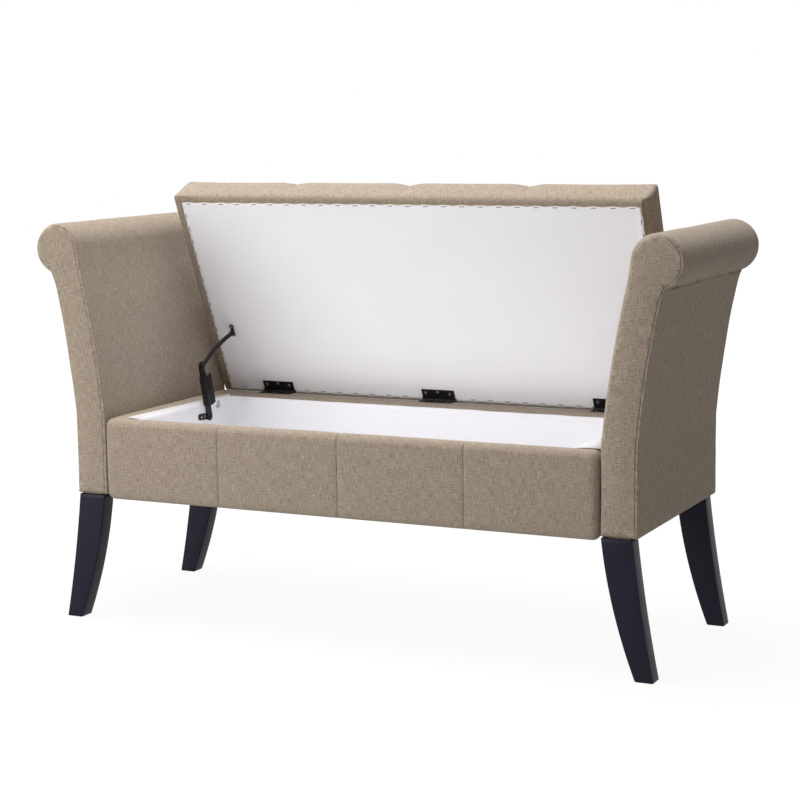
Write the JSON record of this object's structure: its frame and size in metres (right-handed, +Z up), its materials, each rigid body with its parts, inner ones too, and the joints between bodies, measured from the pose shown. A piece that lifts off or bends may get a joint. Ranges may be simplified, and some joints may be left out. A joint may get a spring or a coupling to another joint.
{
  "type": "storage bench",
  "caption": "Linen-covered storage bench with rolled arms, a padded lid on butt hinges with a folding stay, and black sabre legs.",
  "frame": {"origin": "on the floor, below the middle of the bench's width and depth, with the lid open", "axes": "+X to the bench's right as seen from the front, +Y to the back, +Z up; the front faces -Y"},
  "size_m": [1.295, 0.507, 0.832],
  "materials": {
    "linen": "coarse beige linen weave",
    "plywood": "bare plywood",
    "black_wood": "black satin lacquer",
    "white_cloth": "thin white non-woven cloth",
    "black_cloth": "thin black non-woven cloth",
    "black_steel": "black coated steel",
    "zinc": "zinc plated"
  },
  "bodies": {
    "bench": {"back_rail": "linen", "bottom_panel": "plywood", "box_lining": "white_cloth", "dust_cover": "black_cloth", "front_left_leg": "black_wood", "front_left_leg_bolt": "zinc", "front_rail_board": "plywood", "front_rail_pad": "linen", "front_right_leg": "black_wood", "front_right_leg_bolt": "zinc", "left_arm_bolt": "zinc", "left_arm_cover": "linen", "left_arm_frame": "plywood", "left_hinge_pin": "black_steel", "left_hinge_rail_leaf": "black_steel", "left_hinge_rail_screw_1": "black_steel", "left_hinge_rail_screw_2": "black_steel", "left_hinge_rail_screw_3": "black_steel", "left_side_rail": "linen", "middle_hinge_pin": "black_steel", "middle_hinge_rail_leaf": "black_steel", "middle_hinge_rail_screw_1": "black_steel", "middle_hinge_rail_screw_2": "black_steel", "middle_hinge_rail_screw_3": "black_steel", "rear_left_leg": "black_wood", "rear_left_leg_bolt": "zinc", "rear_right_leg": "black_wood", "rear_right_leg_bolt": "zinc", "right_arm_bolt": "zinc", "right_arm_cover": "linen", "right_arm_frame": "plywood", "right_hinge_pin": "black_steel", "right_hinge_rail_leaf": "black_steel", "right_hinge_rail_screw_1": "black_steel", "right_hinge_rail_screw_2": "black_steel", "right_hinge_rail_screw_3": "black_steel", "right_side_rail": "linen", "stay_wall_plate": "black_steel", "stay_wall_screw_1": "black_steel", "stay_wall_screw_2": "black_steel"},
    "lid": {"lid_board": "plywood", "lid_cushion": "linen", "lid_undercloth": "white_cloth", "stay_lid_plate": "black_steel", "left_hinge_lid_leaf": "black_steel", "left_hinge_lid_screw_1": "black_steel", "left_hinge_lid_screw_2": "black_steel", "left_hinge_lid_screw_3": "black_steel", "middle_hinge_lid_leaf": "black_steel", "middle_hinge_lid_screw_1": "black_steel", "middle_hinge_lid_screw_2": "black_steel", "middle_hinge_lid_screw_3": "black_steel", "right_hinge_lid_leaf": "black_steel", "right_hinge_lid_screw_1": "black_steel", "right_hinge_lid_screw_2": "black_steel", "right_hinge_lid_screw_3": "black_steel", "stay_lid_screw_1": "black_steel", "stay_lid_screw_2": "black_steel"},
    "stay_lower": {"stay_lower_arm": "black_steel"},
    "stay_upper": {"stay_upper_arm": "black_steel"}
  },
  "joints": [
    {"name": "lid_hinge", "type": "hinge", "parent": "bench", "child": "lid", "pos_m": [0, 0.1935, 0.3962], "axis": [-1, 0, 0], "range_deg": [-66, 0]},
    {"name": "stay_foot_pivot", "type": "hinge", "parent": "bench", "child": "stay_lower", "pos_m": [-0.4395, 0.0365, 0.3622], "axis": [-1, 0, 0], "range_deg": [-80.3, 0]},
    {"name": "stay_elbow_pivot", "type": "hinge", "parent": "stay_lower", "child": "stay_upper", "pos_m": [-0.4395, 0.0085, 0.4682], "axis": [1, 0, 0], "range_deg": [-90.8, 0]}
  ],
  "couplings": [
    {"joint": "stay_foot_pivot", "follows": "lid_hinge", "ratio": 1.216},
    {"joint": "stay_elbow_pivot", "follows": "lid_hinge", "ratio": 1.375}
  ]
}
